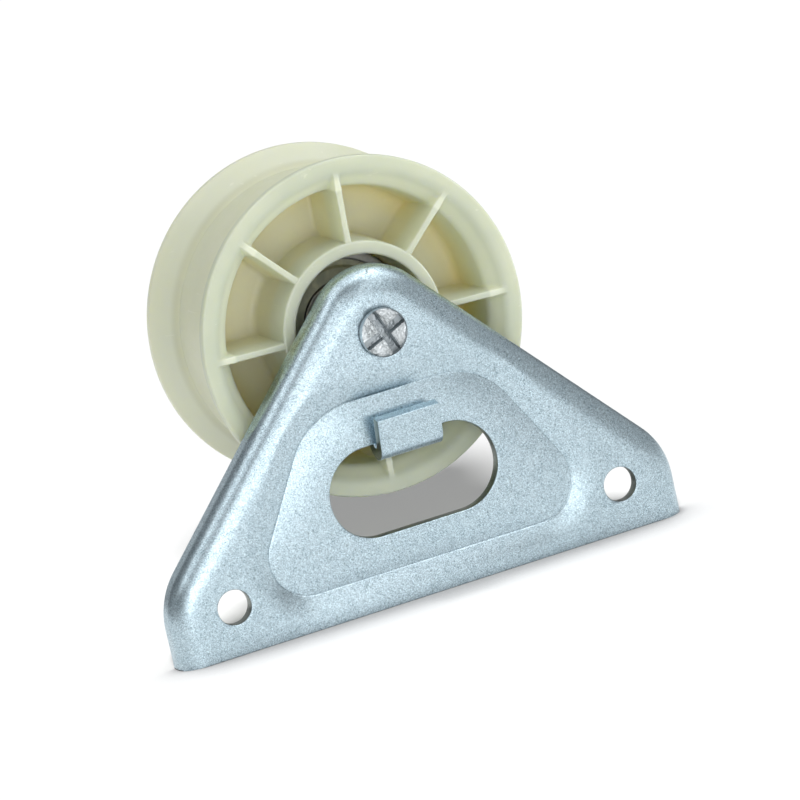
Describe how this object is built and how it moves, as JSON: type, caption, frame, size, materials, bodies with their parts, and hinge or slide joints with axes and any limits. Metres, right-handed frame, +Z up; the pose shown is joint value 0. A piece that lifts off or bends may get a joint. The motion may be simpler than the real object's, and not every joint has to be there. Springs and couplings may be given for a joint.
{
  "type": "belt tensioner idler",
  "caption": "Triangular pressed-steel bracket with a spring hook and screw holes, carrying a flanged nylon belt pulley on a sealed ball bearing and a staked axle pin.",
  "frame": {"origin": "middle of the bracket's straight base edge, halfway through the sheet", "axes": "+Z up the bracket from its base edge to the axle, +X along the base edge, +Y from the bracket to the pulley, along the pulley's axis"},
  "size_m": [0.0848, 0.0362, 0.0676],
  "materials": {
    "zinc_sheet": "zinc-plated pressed sheet, satin with a fine mottled grain",
    "nylon": "natural moulded nylon, cream with a green tint, slightly translucent, satin",
    "turned_steel": "bright turned steel",
    "bearing_steel": "ground and polished bearing steel",
    "shield_steel": "stamped steel, dull and slightly oiled"
  },
  "bodies": {
    "bracket": {"bracket": "zinc_sheet", "axle_pin": "turned_steel", "spacer_sleeve": "turned_steel", "rear_washer": "turned_steel", "bearing_inner_ring": "bearing_steel"},
    "pulley": {"pulley": "nylon", "bearing_outer_ring": "bearing_steel", "front_shield": "shield_steel", "rear_shield": "shield_steel"},
    "cage": {"front_cage_half": "shield_steel", "rear_cage_half": "shield_steel"},
    "ball_1": {"ball_1": "bearing_steel"},
    "ball_2": {"ball_2": "bearing_steel"},
    "ball_3": {"ball_3": "bearing_steel"},
    "ball_4": {"ball_4": "bearing_steel"},
    "ball_5": {"ball_5": "bearing_steel"},
    "ball_6": {"ball_6": "bearing_steel"},
    "ball_7": {"ball_7": "bearing_steel"}
  },
  "joints": [
    {"name": "pulley_spin", "type": "hinge", "parent": "bracket", "child": "pulley", "pos_m": [0, 0.0187, 0.0414], "axis": [0, 1, 0], "continuous": true},
    {"name": "cage_spin", "type": "hinge", "parent": "bracket", "child": "cage", "pos_m": [0, 0.0187, 0.0414], "axis": [0, 1, 0], "continuous": true},
    {"name": "ball_1_roll", "type": "hinge", "parent": "cage", "child": "ball_1", "pos_m": [0.0075, 0.0187, 0.0414], "axis": [0, 1, 0], "continuous": true},
    {"name": "ball_2_roll", "type": "hinge", "parent": "cage", "child": "ball_2", "pos_m": [0.00468, 0.0187, 0.04726], "axis": [0, 1, 0], "continuous": true},
    {"name": "ball_3_roll", "type": "hinge", "parent": "cage", "child": "ball_3", "pos_m": [-0.00167, 0.0187, 0.04871], "axis": [0, 1, 0], "continuous": true},
    {"name": "ball_4_roll", "type": "hinge", "parent": "cage", "child": "ball_4", "pos_m": [-0.00676, 0.0187, 0.04465], "axis": [0, 1, 0], "continuous": true},
    {"name": "ball_5_roll", "type": "hinge", "parent": "cage", "child": "ball_5", "pos_m": [-0.00676, 0.0187, 0.03815], "axis": [0, 1, 0], "continuous": true},
    {"name": "ball_6_roll", "type": "hinge", "parent": "cage", "child": "ball_6", "pos_m": [-0.00167, 0.0187, 0.03409], "axis": [0, 1, 0], "continuous": true},
    {"name": "ball_7_roll", "type": "hinge", "parent": "cage", "child": "ball_7", "pos_m": [0.00468, 0.0187, 0.03554], "axis": [0, 1, 0], "continuous": true}
  ],
  "couplings": [
    {"joint": "cage_spin", "follows": "pulley_spin", "ratio": 0.6323},
    {"joint": "ball_1_roll", "follows": "pulley_spin", "ratio": 1.7573},
    {"joint": "ball_2_roll", "follows": "pulley_spin", "ratio": 1.7573},
    {"joint": "ball_3_roll", "follows": "pulley_spin", "ratio": 1.7573},
    {"joint": "ball_4_roll", "follows": "pulley_spin", "ratio": 1.7573},
    {"joint": "ball_5_roll", "follows": "pulley_spin", "ratio": 1.7573},
    {"joint": "ball_6_roll", "follows": "pulley_spin", "ratio": 1.7573},
    {"joint": "ball_7_roll", "follows": "pulley_spin", "ratio": 1.7573}
  ]
}
